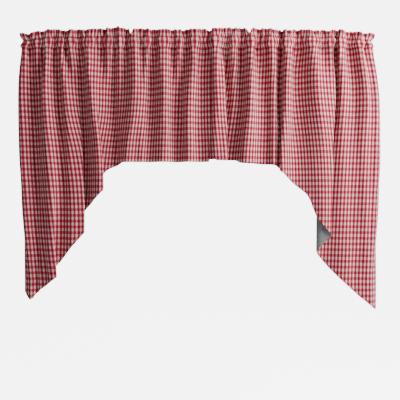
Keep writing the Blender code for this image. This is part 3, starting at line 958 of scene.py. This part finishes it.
class VALANCE_OT_stage(bpy.types.Operator):
    """Make the floor, the lights and the camera"""
    bl_idname = "valance.stage"
    bl_label = "Stage"

    def execute(self, context):
        stage = context.scene.valance_stage
        sweep = stage_sweep()
        for row in LIGHTS:
            add_light(dict(zip(LIGHT_COLUMNS, row)), stage.key_power)
        world = bpy.data.worlds.new("studio")
        context.scene.world = world
        world.use_nodes = True
        world.node_tree.nodes["Background"].inputs["Color"].default_value = (1.0, 1.0, 1.0, 1.0)
        seen = world.node_tree.nodes.new("ShaderNodeLightPath").outputs["Is Camera Ray"]
        glow = math(world.node_tree, "MULTIPLY_ADD", seen, STAGE_GLOW, stage.fill_strength)
        world.node_tree.links.new(glow, world.node_tree.nodes["Background"].inputs["Strength"])
        data = bpy.data.cameras.new("front_camera")
        data.sensor_width = SENSOR_WIDTH
        data.lens = SENSOR_WIDTH * stage.camera_distance / stage.view_width
        camera = bpy.data.objects.new("front_camera", data)
        camera.location = (TOP_EDGE[0] + CAMERA_ASIDE, -stage.camera_distance,
                           TOP_EDGE[2] - stage.view_drop)
        camera.rotation_euler = (np.pi / 2, 0.0, 0.0)
        context.scene.collection.objects.link(camera)
        context.scene.camera = camera
        return {"FINISHED"}


def stitch_line_rows():
    """Numbers of the grid rows that the heading is sewn along."""
    names = [row["name"] for row in HEADING_ROWS]
    return [names.index(name) * HEADING_STEPS for name in STITCH_LINES]


def stage_sweep():
    """A pale floor that curves up into a backdrop."""
    turn = np.linspace(0, np.pi / 2, 13)
    profile = [(FLOOR_FRONT, FLOOR_Z)]
    profile += [(BACKDROP_Y - SWEEP_RADIUS + SWEEP_RADIUS * np.sin(angle),
                 FLOOR_Z + SWEEP_RADIUS - SWEEP_RADIUS * np.cos(angle)) for angle in turn]
    profile += [(BACKDROP_Y, BACKDROP_TOP)]
    points = [(x, y, z) for x in (-FLOOR_HALF_WIDTH, FLOOR_HALF_WIDTH) for y, z in profile]
    count = len(profile)
    faces = [(i, i + count, i + count + 1, i + 1) for i in range(count - 1)]
    mesh = bpy.data.meshes.new("stage_sweep")
    mesh.from_pydata(points, [], faces)
    material = bpy.data.materials.new("pale_paper")
    material.use_nodes = True
    shader = material.node_tree.nodes["Principled BSDF"]
    shader.inputs["Base Color"].default_value = (0.9, 0.9, 0.9, 1.0)
    shader.inputs["Roughness"].default_value = 0.9
    shader.inputs["Emission Color"].default_value = (1.0, 1.0, 1.0, 1.0)
    seen = material.node_tree.nodes.new("ShaderNodeLightPath").outputs["Is Camera Ray"]
    glow = math(material.node_tree, "MULTIPLY", seen, STAGE_GLOW)
    material.node_tree.links.new(glow, shader.inputs["Emission Strength"])
    mesh.materials.append(material)
    mesh.shade_smooth()
    sweep = bpy.data.objects.new("stage_sweep", mesh)
    bpy.context.scene.collection.objects.link(sweep)
    return sweep


def add_light(row, key_power):
    """A square soft light at its place, turned to its target."""
    data = bpy.data.lights.new(row["name"], "AREA")
    data.size = row["size"]
    data.energy = row["share"] * key_power
    light = bpy.data.objects.new(row["name"], data)
    light.location = row["place"]
    way = Vector(row["target"]) - Vector(row["place"])
    light.rotation_euler = way.to_track_quat("-Z", "Y").to_euler()
    bpy.context.scene.collection.objects.link(light)


class VALANCE_PT_panel(bpy.types.Panel):
    """Buttons and settings of the valance"""
    bl_idname = "VALANCE_PT_panel"
    bl_label = "Swag Valance"
    bl_space_type = "VIEW_3D"
    bl_region_type = "UI"
    bl_category = "Valance"

    def draw(self, context):
        layout = self.layout
        for operator in OPERATORS:
            layout.operator(operator.bl_idname)
        for name, group in SETTINGS.items():
            column = layout.column(align=True)
            for field in group.__annotations__:
                column.prop(getattr(context.scene, name), field)


OPERATORS = (VALANCE_OT_face_cloths, VALANCE_OT_linings, VALANCE_OT_headings, VALANCE_OT_stage)
CLASSES = tuple(SETTINGS.values()) + OPERATORS + (VALANCE_PT_panel,)


def register():
    for item in CLASSES:
        bpy.utils.register_class(item)
    for name, group in SETTINGS.items():
        setattr(bpy.types.Scene, name, PointerProperty(type=group))


def unregister():
    for name in SETTINGS:
        delattr(bpy.types.Scene, name)
    for item in reversed(CLASSES):
        bpy.utils.unregister_class(item)


def main():
    register()
    bpy.ops.valance.face_cloths()
    bpy.ops.valance.linings()
    bpy.ops.valance.headings()
    bpy.ops.valance.stage()


if __name__ == "__main__":
    main()
